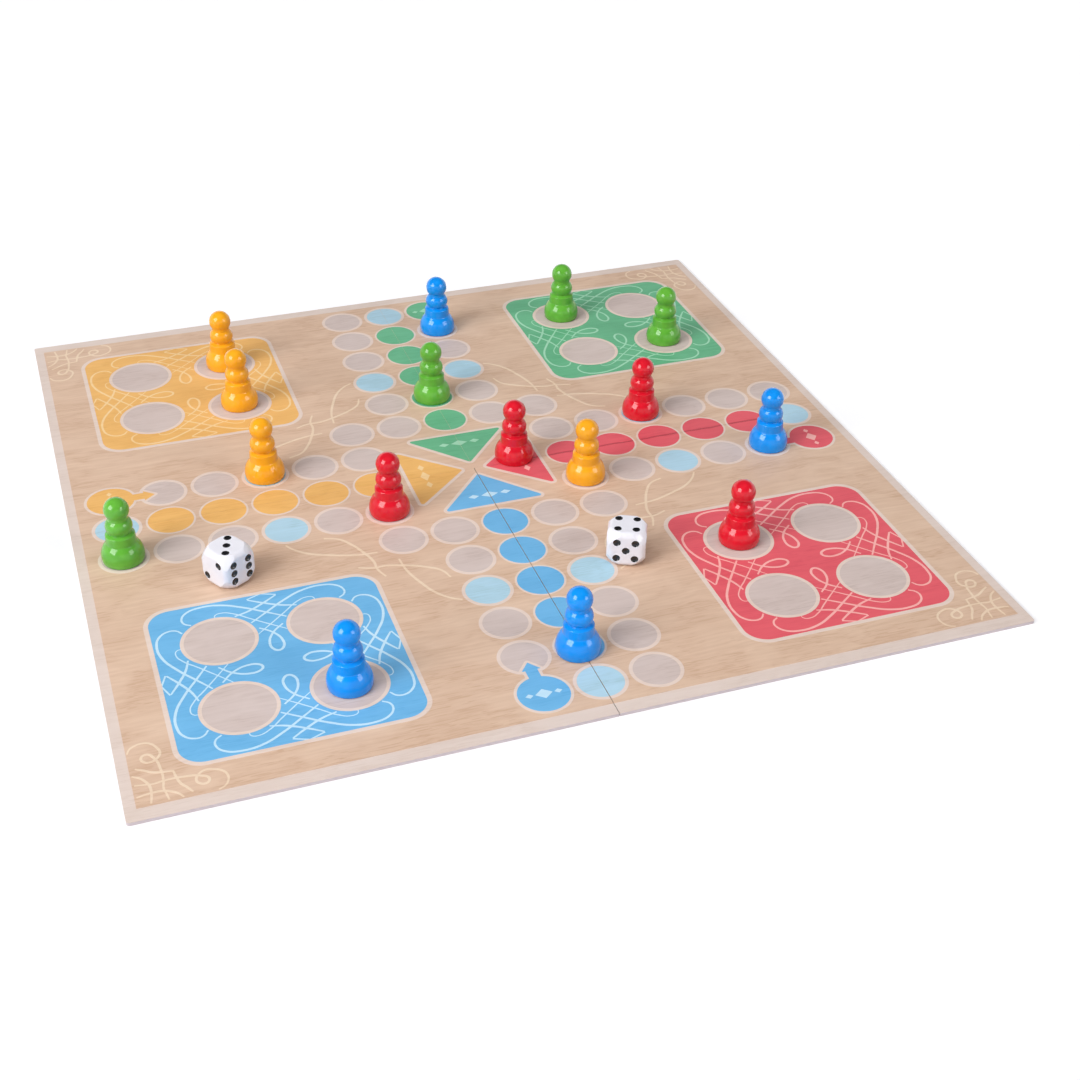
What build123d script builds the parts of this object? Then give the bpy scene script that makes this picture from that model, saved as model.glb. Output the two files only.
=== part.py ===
from build123d import *
import os
from math import atan2, degrees

# A folding ludo board lying open, with its sixteen turned pawns and two dice.
# Millimetres. +Z is up, +X right, +Y away from the blue player's edge.
# The origin is under the middle of the board, on the surface that it lies on.

# Board
board_side = 350.0
corner_radius = 1.2
greyboard_thickness = 1.2
backing_thickness = 0.15
face_sheet_thickness = 0.15
turn_over_width = 12.0
side_margin_width = 4.1
end_margin_width = 6.0
crease_gap = 0.1
slit_gap = 0.3

# Print
ink_thickness = 0.04
outline_width = 1.7
outermost_circle_inset = 18.9
outermost_circle_number = 7
first_circle_number = 2
safe_circle_number = 4
track_circle_radius = 9.0
home_run_circle_radius = 9.6
start_circle_radius = 10.0
start_outline_width = 1.2
arrow_reach = 18.9
arrow_head_width = 7.8
arrow_head_length = 4.8
arrow_neck_width = 4.9
triangle_base_out = 30.4
triangle_half_width = 22.6
triangle_apex_out = 5.2
triangle_corner_radius = 1.0
home_square_inset = 66.5
home_square_width = 90.0
home_square_corner_radius = 9.0
home_circle_offset = 20.4
home_circle_radius = 13.4

# Pawn, a turned profile from the foot up
foot_radius = 8.35
foot_round = 0.6
dome_radius = 8.75
dome_height = 2.5
waist_foot_radius = 6.15
waist_foot_height = 8.75
waist_foot_round = 0.8
waist_top_radius = 5.95
waist_top_height = 12.6
rim_round = 0.45
lower_groove_radius = 4.6
lower_groove_height = 13.4
bead_radius = 5.5
bead_half_height = 4.8
bead_height = 16.4
neck_radius = 4.1
head_radius = 5.1
head_height = 23.9

# Die
die_side = 16.0
die_edge_radius = 2.5
die_corner_reach = 10.6
pip_radius = 1.6
pip_depth = 0.7
pip_offset = 3.73
left_die_place = (-117.7, -49.3)
left_die_turn = -59.5
right_die_place = (38.8, -84.5)
right_die_turn = -25.0

# Air under each standing piece, above the ink
standing_gap = 0.05

# How far in from its base, and how far aside, a pawn stands on the red finish triangle
finished_pawn_in = 10.6
finished_pawn_aside = 3.0

# How far to the left of its home run circle, and how far in front of it, the near blue pawn stands
near_pawn_left = 1.5
near_pawn_forward = 2.2

# Heights in the laminate, from the underside up, and places in the print
core_top = backing_thickness + greyboard_thickness
face_top = core_top + face_sheet_thickness
standing_height = face_top + ink_thickness + standing_gap
half_side = board_side / 2
pitch = (half_side - outermost_circle_inset) / outermost_circle_number
home_square_centre = half_side - home_square_inset

# Panels, each by the sign of its side of the centre in X and Y
panels = {
    "back_left": (-1, 1),
    "back_right": (1, 1),
    "front_left": (-1, -1),
    "front_right": (1, -1),
}

# The way that each colour's arm of the track points, and the side of its home square
arms = {"blue": (0, -1), "orange": (-1, 0), "green": (0, 1), "red": (1, 0)}
home_corners = {"blue": (-1, -1), "orange": (-1, 1), "green": (1, 1), "red": (1, -1)}


def panel_limits(name, side_inset=0.0, end_inset=0.0):
    """Low and high X and Y of a panel, with its outer side and its outer end drawn in."""
    side_x, side_y = panels[name]
    gap_x = slit_gap if side_y < 0 else crease_gap
    xs = sorted((side_x * gap_x / 2, side_x * (half_side - side_inset)))
    ys = sorted((side_y * crease_gap / 2, side_y * (half_side - end_inset)))
    return xs, ys


def panel_slab(name, low, high, side_inset=0.0, end_inset=0.0):
    """A slab over a panel between two heights, with the board's outer corner rounded."""
    xs, ys = panel_limits(name, side_inset, end_inset)
    slab = Box(xs[1] - xs[0], ys[1] - ys[0], high - low)
    slab = Pos(sum(xs) / 2, sum(ys) / 2, (low + high) / 2) * slab
    radius = corner_radius - max(side_inset, end_inset)
    if radius <= 0:
        return slab
    side_x, side_y = panels[name]
    upright = slab.edges().filter_by(Axis.Z)
    outer_corner = upright.sort_by(lambda e: side_x * e.center().X + side_y * e.center().Y)[-1]
    return fillet(outer_corner, radius)


def greyboard(name):
    """The stiff core, rebated along its outer edges for the turned-over backing paper."""
    rebate_floor = core_top - backing_thickness
    lower = panel_slab(name, backing_thickness, rebate_floor, backing_thickness, backing_thickness)
    upper = panel_slab(name, rebate_floor, core_top, turn_over_width, turn_over_width)
    return lower + upper


def backing_paper(name):
    """Paper under the core, up its outer edges and over on to its face."""
    return panel_slab(name, 0.0, core_top) - greyboard(name)


def face_sheet(name):
    """The printed sheet, which leaves a margin of the turned-over paper bare."""
    return panel_slab(name, core_top, face_top, side_margin_width, end_margin_width)


def track_place(out, beside, way):
    """A circle's centre: so many circles out along an arm, and so many clockwise of its middle."""
    out_x, out_y = way
    return pitch * (out * out_x + beside * out_y), pitch * (out * out_y - beside * out_x)


def home_places(colour):
    """The four waiting circles of a home square, keyed by their side of its centre."""
    side_x, side_y = home_corners[colour]
    return {
        (right, away): (
            side_x * home_square_centre + right * home_circle_offset,
            side_y * home_square_centre + away * home_circle_offset,
        )
        for right in (-1, 1)
        for away in (-1, 1)
    }


def facing(way):
    """The turn about Z that takes +X to an arm's direction."""
    return Rot(0, 0, degrees(atan2(way[1], way[0])))


def disc(centre, radius):
    return Pos(*centre) * Circle(radius)


def start_sign(colour, growth=0.0):
    """The start circle and its arrow towards the centre, grown all round by an outline."""
    way = arms[colour]
    neck_length = arrow_reach - arrow_head_length
    barbs = [(-neck_length, arrow_head_width / 2), (-neck_length, -arrow_head_width / 2)]
    head = make_face(Polyline((-arrow_reach, 0), *barbs, close=True))
    neck = Pos(-neck_length / 2, 0) * Rectangle(neck_length, arrow_neck_width)
    sign = Circle(start_circle_radius) + neck + head
    if growth > 0:
        sign = offset(sign, growth)
    return Pos(*track_place(outermost_circle_number, 1, way)) * facing(way) * sign


def finish_triangle(colour):
    """One quarter of the finishing square, with its point towards the centre."""
    base = [(triangle_base_out, triangle_half_width), (triangle_base_out, -triangle_half_width)]
    outline = make_face(Polyline((triangle_apex_out, 0), *base, close=True))
    return facing(arms[colour]) * fillet(outline.vertices(), triangle_corner_radius)


def home_square(colour):
    """The coloured home square, left open round its four waiting circles."""
    side_x, side_y = home_corners[colour]
    tile = RectangleRounded(home_square_width, home_square_width, home_square_corner_radius)
    tile = Pos(side_x * home_square_centre, side_y * home_square_centre) * tile
    for centre in home_places(colour).values():
        tile -= disc(centre, home_circle_radius + outline_width)
    return tile


def colour_areas(colour):
    """Every area in a player's colour: home square, start sign, home run and finish."""
    areas = [home_square(colour), start_sign(colour), finish_triangle(colour)]
    for out in range(first_circle_number, outermost_circle_number):
        areas.append(disc(track_place(out, 0, arms[colour]), home_run_circle_radius))
    return areas


def safe_areas():
    """The light blue circles: the outer middle one of each arm, and two beside its home run."""
    areas = []
    for way in arms.values():
        places = [track_place(outermost_circle_number, 0, way)]
        places += [track_place(safe_circle_number, beside, way) for beside in (1, -1)]
        areas += [disc(place, track_circle_radius) for place in places]
    return areas


def track_areas():
    """The greyed circles: the track, its four inner corners and the waiting circles."""
    areas = []
    for colour, way in arms.items():
        for out in range(first_circle_number, outermost_circle_number + 1):
            if out == safe_circle_number:
                continue
            areas.append(disc(track_place(out, -1, way), track_circle_radius))
            if out < outermost_circle_number:
                circle = disc(track_place(out, 1, way), track_circle_radius)
                under_arrow = out == outermost_circle_number - 1
                areas.append(circle - start_sign(colour, start_outline_width) if under_arrow else circle)
        areas.append(disc(track_place(first_circle_number, first_circle_number, way), track_circle_radius))
        areas += [disc(centre, home_circle_radius) for centre in home_places(colour).values()]
    return areas


def ink(areas, name):
    """A film of ink over the parts of some areas that fall on one panel."""
    xs, ys = panel_limits(name)
    panel = Pos(sum(xs) / 2, sum(ys) / 2) * Rectangle(xs[1] - xs[0], ys[1] - ys[0])
    films = []
    for area in areas:
        on_panel = area & panel
        if on_panel:
            films += extrude(Pos(0, 0, face_top) * on_panel, ink_thickness, dir=(0, 0, 1)).solids()
    return films


def corners_near(outline, *places):
    """The corners of a turned profile that lie nearest some places on it."""
    return [outline.vertices().sort_by_distance((radius, 0, height))[0] for radius, height in places]


def pawn():
    """A pawn turned in one piece: domed base, straight waist, bead and round head."""
    foot = (foot_radius, 0)
    dome = (dome_radius, dome_height)
    waist_foot = (waist_foot_radius, waist_foot_height)
    waist_top = (waist_top_radius, waist_top_height)
    groove = (lower_groove_radius, lower_groove_height)
    with BuildLine(Plane.XZ) as turned:
        Line((0, 0), foot)
        ThreePointArc(foot, dome, waist_foot)
        Polyline(waist_foot, waist_top, groove, (neck_radius, bead_height))
        Polyline((neck_radius, bead_height), (neck_radius, head_height), (0, head_height), (0, 0))
    body = make_face(turned.wires()[0])
    body = fillet(corners_near(body, foot), foot_round)
    body = fillet(corners_near(body, waist_foot), waist_foot_round)
    body = fillet(corners_near(body, waist_top), rim_round)
    right_half = Plane.XZ * Pos(head_height, 0) * Rectangle(2 * head_height, 4 * head_height)
    bead = Plane.XZ * Pos(0, bead_height) * Ellipse(bead_radius, bead_half_height)
    head = Plane.XZ * Pos(0, head_height) * Circle(head_radius)
    profile = body + (bead & right_half) + (head & right_half)
    return revolve(profile, Axis.Z)


def die():
    """A die with 4 up and 5 to the front, its edges and corners rounded, its pips dished."""
    body = Box(die_side, die_side, die_side)
    body = fillet(body.edges(), die_edge_radius) & Sphere(die_corner_reach)
    corners = [(-1, -1), (-1, 1), (1, -1), (1, 1)]
    faces = [
        ((-1, 0, 0), (0, 1, 0), [(0, 0)]),
        ((0, 1, 0), (1, 0, 0), [(1, 1), (-1, -1)]),
        ((0, 0, -1), (1, 0, 0), [(-1, 1), (0, 0), (1, -1)]),
        ((0, 0, 1), (1, 0, 0), corners),
        ((0, -1, 0), (1, 0, 0), corners + [(0, 0)]),
        ((1, 0, 0), (0, 1, 0), corners + [(-1, 0), (1, 0)]),
    ]
    cutter_radius = (pip_radius**2 + pip_depth**2) / (2 * pip_depth)
    cutter_centre = die_side / 2 + cutter_radius - pip_depth
    for outward, across, pips in faces:
        face = Plane(origin=Vector(outward) * cutter_centre, x_dir=across, z_dir=outward)
        for right, up in pips:
            body -= face * Pos(right * pip_offset, up * pip_offset) * Sphere(cutter_radius)
    return body


# Where the pieces stand
orange_home, green_home = home_places("orange"), home_places("green")
red_home, blue_home = home_places("red"), home_places("blue")
near_arm, left_arm, far_arm, right_arm = arms["blue"], arms["orange"], arms["green"], arms["red"]
pawn_places = {
    "pawn_orange_1": orange_home[1, 1],
    "pawn_orange_2": orange_home[1, -1],
    "pawn_orange_3": track_place(4, 1, left_arm),
    "pawn_orange_4": track_place(2, 1, right_arm),
    "pawn_green_1": green_home[-1, 1],
    "pawn_green_2": green_home[1, -1],
    "pawn_green_3": track_place(3, 0, far_arm),
    "pawn_green_4": track_place(7, -1, left_arm),
    "pawn_red_1": track_place(4, -1, right_arm),
    "pawn_red_2": (triangle_base_out - finished_pawn_in, finished_pawn_aside),
    "pawn_red_3": track_place(2, -1, left_arm),
    "pawn_red_4": red_home[-1, 1],
    "pawn_blue_1": track_place(6, 1, far_arm),
    "pawn_blue_2": track_place(6, 1, right_arm),
    "pawn_blue_3": (-near_pawn_left, -6 * pitch - near_pawn_forward),
    "pawn_blue_4": blue_home[1, -1],
}
die_centre_height = standing_height + die_side / 2

nodes = {}
for panel in panels:
    nodes["greyboard_" + panel] = greyboard(panel)
    nodes["backing_paper_" + panel] = backing_paper(panel)
    nodes["face_sheet_" + panel] = face_sheet(panel)
    nodes["track_print_" + panel] = Compound(children=ink(track_areas(), panel))
    nodes["safe_print_" + panel] = Compound(children=ink(safe_areas(), panel))
    for colour in arms:
        films = ink(colour_areas(colour), panel)
        if films:
            nodes[colour + "_print_" + panel] = Compound(children=films)
turned_pawn = pawn()
for name, (x, y) in pawn_places.items():
    nodes[name] = Pos(x, y, standing_height) * turned_pawn
moulded_die = die()
three_up = Rot(180, 0, 0) * moulded_die
nodes["die_left"] = Pos(*left_die_place, die_centre_height) * Rot(0, 0, left_die_turn) * three_up
nodes["die_right"] = Pos(*right_die_place, die_centre_height) * Rot(0, 0, right_die_turn) * moulded_die

os.makedirs("parts", exist_ok=True)
for name, shape in nodes.items():
    export_step(shape, "parts/" + name + ".step")
print(len(nodes), "nodes, circles", round(pitch, 2), "mm apart")
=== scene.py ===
# %% [markdown]
# A folding ludo board lies open, with sixteen turned pawns and two dice standing on it.
# The solids of every panel, pawn and die come in from the frame at their real size. This script
# gives each of them its finish, and adds the fine print that the solids leave out. Lengths are
# written in millimetres, and one factor turns them to metres where Blender needs them.

# %% Load the frame
import math

import bmesh
import bpy
from mathutils import Matrix, Vector


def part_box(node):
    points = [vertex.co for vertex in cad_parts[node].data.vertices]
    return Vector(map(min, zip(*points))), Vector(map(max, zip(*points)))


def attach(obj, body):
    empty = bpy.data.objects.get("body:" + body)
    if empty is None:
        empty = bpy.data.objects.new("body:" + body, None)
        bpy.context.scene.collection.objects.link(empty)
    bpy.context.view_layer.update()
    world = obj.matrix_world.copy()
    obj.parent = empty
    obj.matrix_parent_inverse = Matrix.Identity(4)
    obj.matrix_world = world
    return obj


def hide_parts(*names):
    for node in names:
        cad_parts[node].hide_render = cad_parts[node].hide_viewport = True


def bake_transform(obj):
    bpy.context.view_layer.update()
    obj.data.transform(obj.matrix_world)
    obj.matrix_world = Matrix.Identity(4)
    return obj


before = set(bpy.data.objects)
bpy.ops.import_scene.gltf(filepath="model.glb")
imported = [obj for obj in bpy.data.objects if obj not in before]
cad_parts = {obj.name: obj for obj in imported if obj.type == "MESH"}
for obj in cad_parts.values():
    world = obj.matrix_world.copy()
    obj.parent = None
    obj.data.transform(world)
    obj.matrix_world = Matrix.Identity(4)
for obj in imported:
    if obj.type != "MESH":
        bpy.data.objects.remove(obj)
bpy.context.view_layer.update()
MM = 0.001

# %% [markdown]
# Sizes that the solids already have are read from them, so that the print lands on the board
# wherever its faces are. The four panels are named by the side of the centre that they lie on.

# %% Sizes read from the frame
PANELS = {"back_left": (-1, 1), "back_right": (1, 1), "front_left": (-1, -1), "front_right": (1, -1)}


def node_box(node):
    """Lowest and highest corner of a node, in millimetres."""
    low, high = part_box(node)
    return low / MM, high / MM


half_side = -node_box("backing_paper_front_left")[0].x
face_top = node_box("face_sheet_back_left")[1].z
ink_top = node_box("track_print_back_left")[1].z
crease_gap = -2 * node_box("face_sheet_back_left")[1].x
slit_gap = -2 * node_box("face_sheet_front_left")[1].x
print(f"board {2 * half_side:.0f} mm, face at {face_top:.2f}, ink to {ink_top:.2f}")

# %% [markdown]
# The camera stands where the photographer's did: to the left of the board's middle, and looking
# down at a little more than a third of a right angle. A matrix made from its own right, up and
# back directions sets it, because that also holds the slight roll of a hand-levelled camera.

# %% Camera
CAMERA_AZIMUTH = math.radians(-20.0)
CAMERA_ELEVATION = math.radians(34.61)
CAMERA_ROLL = math.radians(1.05)
CAMERA_DISTANCE = 665.5
CAMERA_TARGET = Vector((9.9, -60.4, 0.0))
CAMERA_LENS = 53.05

camera_back = Vector((
    math.sin(CAMERA_AZIMUTH) * math.cos(CAMERA_ELEVATION),
    -math.cos(CAMERA_AZIMUTH) * math.cos(CAMERA_ELEVATION),
    math.sin(CAMERA_ELEVATION),
))
level_right = Vector((math.cos(CAMERA_AZIMUTH), math.sin(CAMERA_AZIMUTH), 0))
level_up = camera_back.cross(level_right)
camera_right = level_right * math.cos(CAMERA_ROLL) + level_up * math.sin(CAMERA_ROLL)
camera_up = camera_back.cross(camera_right)
camera = bpy.data.objects.new("camera", bpy.data.cameras.new("camera"))
bpy.context.collection.objects.link(camera)
camera.data.lens = CAMERA_LENS
camera_turn = Matrix((camera_right, camera_up, camera_back)).transposed().to_4x4()
camera.matrix_world = Matrix.Translation((CAMERA_TARGET + camera_back * CAMERA_DISTANCE) * MM) @ camera_turn
bpy.context.scene.camera = camera
print("camera at", [round(v) for v in camera.matrix_world.translation / MM], "mm")

# %% [markdown]
# A colour is easiest to read as the hex value that a paint chart gives, but a shader works in
# linear light, so one function turns the one into the other. Another adds a node with its
# settings and links, for shaders and for Geometry Nodes alike.

# %% Helpers for colours and nodes


def linear(hex_colour):
    """A hex colour as linear red, green, blue and alpha."""
    parts = [int(hex_colour[i:i + 2], 16) / 255 for i in (1, 3, 5)]
    return [p / 12.92 if p <= 0.04045 else ((p + 0.055) / 1.055) ** 2.4 for p in parts] + [1.0]


def add(tree, kind, inputs=None, **settings):
    """A new node, whose inputs are given as values or as the sockets that feed them."""
    made = tree.nodes.new(kind)
    for name, value in settings.items():
        setattr(made, name, value)
    for key, value in (inputs or {}).items():
        if isinstance(value, bpy.types.NodeSocket):
            tree.links.new(value, made.inputs[key])
        else:
            made.inputs[key].default_value = value
    return made


def blank_material(name):
    """A material with an empty tree and its output node."""
    made = bpy.data.materials.new(name)
    made.use_nodes = True
    made.node_tree.nodes.clear()
    return made, made.node_tree, made.node_tree.nodes.new("ShaderNodeOutputMaterial")


print("middle grey, #808080, is", round(linear("#808080")[0], 3), "in linear light")

# %% [markdown]
# The room is a white studio: a soft box on the left, a weaker one on the right, and a diffuser
# overhead. The two side boxes are what the lacquer shows as its pair of highlights. Their
# directions are worked out from where those highlights sit on a pawn's round head. The diffuser is
# large and hangs high up, so a piece that is lifted off the board stays evenly lit. It is too even
# to show as a highlight, so glossy surfaces don't see it.

# %% Lamps
KEY_LIGHT = {"left": 0.63, "up": 0.15, "towards": 0.76, "away": 2000, "size": 1100, "watts": 30.0}
SIDE_LIGHT = {"left": -0.82, "up": 0.12, "towards": 0.56, "away": 3000, "size": 1300, "watts": 22.4}
OVERHEAD_PLACE = Vector((-400, -400, 2000))
OVERHEAD_SIZE, OVERHEAD_WATTS = 1800, 22.4
ROOM_LIGHT = 0.13


def soft_box(name, place, size, watts):
    """A square lamp that faces the middle of the board."""
    lamp = bpy.data.lights.new(name, "AREA")
    lamp.size = size * MM
    lamp.energy = watts
    made = bpy.data.objects.new(name, lamp)
    bpy.context.collection.objects.link(made)
    made.location = place * MM
    made.rotation_euler = place.to_track_quat("Z", "Y").to_euler()
    return made


for name, light in (("key_light", KEY_LIGHT), ("side_light", SIDE_LIGHT)):
    way = camera_back * light["towards"] + level_up * light["up"] - level_right * light["left"]
    soft_box(name, way.normalized() * light["away"], light["size"], light["watts"])
overhead = soft_box("overhead_light", OVERHEAD_PLACE, OVERHEAD_SIZE, OVERHEAD_WATTS)
overhead.visible_glossy = overhead.visible_camera = False
print("3 lamps,", round(KEY_LIGHT["watts"] + SIDE_LIGHT["watts"] + OVERHEAD_WATTS), "W together")

# %% [markdown]
# The background is pure white, but more light on the board would wash out its colours. So the room
# has two strengths: a dim one that lights the board, and a white one that only the camera and
# glossy or clear surfaces see. The walls are white up to well above the camera's view, and the
# ceiling is dimmer, which keeps the lacquered colours deep.

# %% White room
WALL_TOP, CEILING_START = math.sin(math.radians(22)), math.sin(math.radians(30))
CEILING_STRENGTH = 0.15

world = bpy.data.worlds.new("room")
bpy.context.scene.world = world
world.use_nodes = True
world.node_tree.nodes.clear()


def seen_directly(tree):
    """A socket that is 1 for rays from the camera, from a gloss or through glass."""
    path = add(tree, "ShaderNodeLightPath")
    either = add(tree, "ShaderNodeMath", {0: path.outputs["Is Camera Ray"],
                 1: path.outputs["Is Glossy Ray"]}, operation="MAXIMUM")
    return add(tree, "ShaderNodeMath", {0: either.outputs[0], 1: path.outputs["Is Transmission Ray"]},
               operation="MAXIMUM").outputs[0]


room = world.node_tree
ambient = add(room, "ShaderNodeBackground", {"Color": linear("#FFFDFA"), "Strength": ROOM_LIGHT})
direction = add(room, "ShaderNodeTexCoord").outputs["Generated"]
height = add(room, "ShaderNodeSeparateXYZ", {0: direction}).outputs["Z"]
wall = add(room, "ShaderNodeMapRange", {0: height, 1: WALL_TOP, 2: CEILING_START,
           3: 1.0, 4: CEILING_STRENGTH})
white = add(room, "ShaderNodeBackground", {"Color": (1, 1, 1, 1), "Strength": wall.outputs[0]})
choice = add(room, "ShaderNodeMixShader", {0: seen_directly(room), 1: ambient.outputs[0],
             2: white.outputs[0]})
add(room, "ShaderNodeOutputWorld", {"Surface": choice.outputs[0]})
print("room:", ROOM_LIGHT, "for the board, 1 for the eye")

# %% [markdown]
# The floor is white paper that still has to show the board's shadow. So the lamps' light counts on
# it, and it adds a little light of its own, only where it is seen directly. The lamps' light falls
# off about as 1 / (1 + (distance / size) squared) from its brightest spot, and the floor adds what
# it lacks there. Far from the board it adds nearly all of it, so that it has no grey end in a
# distant view.

# %% White floor
FLOOR_SIZE = 8000
BRIGHT_SPOT, BRIGHT_SIZE = (-588, -442, 0), 1406
FLOOR_LIGHT, LAMP_SHARE = 0.905, 0.968
NEAR_FLOOR, FAR_FLOOR = 1000, 1600
UNDER_BOARD = 0.05

floor_material, tree, output = blank_material("white_sweep")
paper = add(tree, "ShaderNodeBsdfDiffuse", {"Color": linear("#EFEFF2")})
spot = add(tree, "ShaderNodeTexCoord").outputs["Object"]
from_bright = add(tree, "ShaderNodeVectorMath", {0: spot, 1: Vector(BRIGHT_SPOT) * MM},
                  operation="DISTANCE").outputs["Value"]
sizes_off = add(tree, "ShaderNodeMath", {0: from_bright, 1: BRIGHT_SIZE * MM},
                operation="DIVIDE").outputs[0]
falloff = add(tree, "ShaderNodeMath", {0: sizes_off, 1: sizes_off, 2: 1.0},
              operation="MULTIPLY_ADD").outputs[0]
from_board = add(tree, "ShaderNodeVectorMath", {0: spot}, operation="LENGTH").outputs["Value"]
share = add(tree, "ShaderNodeMapRange", {0: from_board, 1: NEAR_FLOOR * MM, 2: FAR_FLOOR * MM,
            3: LAMP_SHARE, 4: 0.0})
lamps = add(tree, "ShaderNodeMath", {0: share.outputs[0], 1: falloff}, operation="DIVIDE").outputs[0]
lacking = add(tree, "ShaderNodeMath", {0: FLOOR_LIGHT, 1: lamps}, operation="SUBTRACT", use_clamp=True)
glow = add(tree, "ShaderNodeEmission", {"Color": (1, 1, 1, 1), "Strength": lacking.outputs[0]})
lifted = add(tree, "ShaderNodeAddShader", {0: paper.outputs[0], 1: glow.outputs[0]})
choice = add(tree, "ShaderNodeMixShader", {0: seen_directly(tree), 1: paper.outputs[0],
             2: lifted.outputs[0]})
tree.links.new(choice.outputs[0], output.inputs["Surface"])

floor_mesh = bpy.data.meshes.new("floor")
reach = FLOOR_SIZE * MM / 2
floor_mesh.from_pydata([(-reach, -reach, 0), (reach, -reach, 0), (reach, reach, 0), (-reach, reach, 0)],
                       [], [(0, 1, 2, 3)])
floor = bpy.data.objects.new("floor", floor_mesh)
bpy.context.collection.objects.link(floor)
floor.location.z = -UNDER_BOARD * MM
floor_mesh.materials.append(floor_material)
bpy.context.scene.view_settings.view_transform = "Standard"
print("floor:", FLOOR_SIZE / 1000, "m square")

# %% [markdown]
# The board is covered with paper that is printed with oak grain, and every coloured ink lies
# thinly enough to let that grain show. So the grain is one group of nodes that every print
# material uses. Oak has broad bands about a centimetre wide, fine fibres along them, and short
# dark pores in rows. Each comes from noise that is stretched along the grain, which runs left to
# right, and a slower noise, of 34 waves to the metre, makes all of them sway. Real fibres and pores
# would be lost between the pixels, so they are drawn two or three times as wide. The group also
# marks a line along the fold on the right for painted shade of the crease, a dark line that
# wanders a little to either side.

# %% Printed oak grain
BAND_WIDTH = 13.0
FIBRE_WIDTH = 1.5
PORE_WIDTH = 0.6
BAND_STRETCH, FIBRE_STRETCH, PORE_STRETCH = 7, 13, 12
SWAY_LENGTH, SWAY = 1000 / 34, 2.6
PORE_LEVELS, ROW_LEVELS, GRAIN_LEVELS = (0.55, 0.66), (0.45, 0.62), (0.3, 0.74)
PORES_BETWEEN_ROWS = 0.1
CREASE_WIDTH, CREASE_WANDER, WANDER_LENGTH, CREASE_START = 0.9, 1.6, 6.25, 30


def stretched_noise(tree, place, width, stretch, detail, sway):
    """Swaying noise whose grains are so wide across the board and so many times longer along it."""
    across = 1 / (width * MM)
    shaped = add(tree, "ShaderNodeMapping", {"Vector": place, "Scale": (across / stretch, across, across)})
    moved = add(tree, "ShaderNodeVectorMath", {0: shaped.outputs[0], 1: sway}, operation="ADD").outputs[0]
    return add(tree, "ShaderNodeTexNoise", {"Vector": moved, "Scale": 1.0, "Detail": detail}).outputs[0]


def oak_grain_group():
    """Outputs how dark the printed grain is at a point, and how near it is to the right crease, where shade
    is painted.
    """
    group = bpy.data.node_groups.new("oak_grain", "ShaderNodeTree")
    group.interface.new_socket("Grain", in_out="OUTPUT", socket_type="NodeSocketFloat")
    group.interface.new_socket("Crease", in_out="OUTPUT", socket_type="NodeSocketFloat")
    place = add(group, "ShaderNodeTexCoord").outputs["Object"]
    slow = add(group, "ShaderNodeTexNoise", {"Vector": place, "Scale": 1 / (SWAY_LENGTH * MM),
               "Detail": 2.0})
    sway = add(group, "ShaderNodeVectorMath", {0: slow.outputs["Color"], "Scale": SWAY},
               operation="SCALE").outputs[0]
    bands = stretched_noise(group, place, BAND_WIDTH, BAND_STRETCH, 2.0, sway)
    fibres = stretched_noise(group, place, FIBRE_WIDTH, FIBRE_STRETCH, 3.0, sway)
    pores = stretched_noise(group, place, PORE_WIDTH, PORE_STRETCH, 1.0, sway)
    fine = add(group, "ShaderNodeMapRange", {0: pores, 1: PORE_LEVELS[0], 2: PORE_LEVELS[1]}).outputs[0]
    rows = add(group, "ShaderNodeMapRange", {0: bands, 1: ROW_LEVELS[0], 2: ROW_LEVELS[1],
               3: PORES_BETWEEN_ROWS}).outputs[0]
    pore_lines = add(group, "ShaderNodeMath", {0: fine, 1: rows}, operation="MULTIPLY").outputs[0]
    soft = add(group, "ShaderNodeMix", {0: 0.5, 2: bands, 3: fibres}, data_type="FLOAT").outputs[0]
    spread = add(group, "ShaderNodeMapRange", {0: soft, 1: GRAIN_LEVELS[0], 2: GRAIN_LEVELS[1]}).outputs[0]
    grain = add(group, "ShaderNodeMath", {0: pore_lines, 1: spread}, operation="ADD", use_clamp=True)
    # Painted shade: a dark line along the right crease, wandering a little to either side of it.
    split = add(group, "ShaderNodeSeparateXYZ", {0: place})
    wander = add(group, "ShaderNodeTexNoise", {"Vector": place, "Scale": 1 / (WANDER_LENGTH * MM),
                 "Detail": 2.0})
    aside = add(group, "ShaderNodeMath", {0: wander.outputs[0], 1: CREASE_WANDER * MM,
                2: -CREASE_WANDER / 2 * MM}, operation="MULTIPLY_ADD").outputs[0]
    off_line = add(group, "ShaderNodeMath", {0: split.outputs["Y"], 1: aside}, operation="ADD").outputs[0]
    distance = add(group, "ShaderNodeMath", {0: off_line}, operation="ABSOLUTE").outputs[0]
    near = add(group, "ShaderNodeMapRange", {0: distance, 2: CREASE_WIDTH * MM, 3: 1.0, 4: 0.0}).outputs[0]
    on_right = add(group, "ShaderNodeMapRange", {0: split.outputs["X"], 2: CREASE_START * MM}).outputs[0]
    crease = add(group, "ShaderNodeMath", {0: near, 1: on_right}, operation="MULTIPLY").outputs[0]
    add(group, "NodeGroupOutput", {"Grain": grain.outputs[0], "Crease": crease})
    return group


OAK_GRAIN = oak_grain_group()
print("oak grain:", len(OAK_GRAIN.nodes), "nodes")

# %% [markdown]
# Offset print under a satin varnish: each ink has the colour it takes over pale grain and the one
# it takes over dark grain. The varnish is what catches the light, with a fine unevenness from the
# paper's fibres, so the roughness stays at about a half and the bump is slight. Paper fibres are
# finer than the render can show, so theirs is the finest bump that it can. Where the margin paper
# turns down over the cut edge of the board, it is given a darker, greyer colour as painted shade.

# %% Print materials
PAPER_FIBRE, PAPER_RELIEF = 0.35, 0.02
EDGE_DEPTH, EDGE_START = 0.17, 0.01


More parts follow.
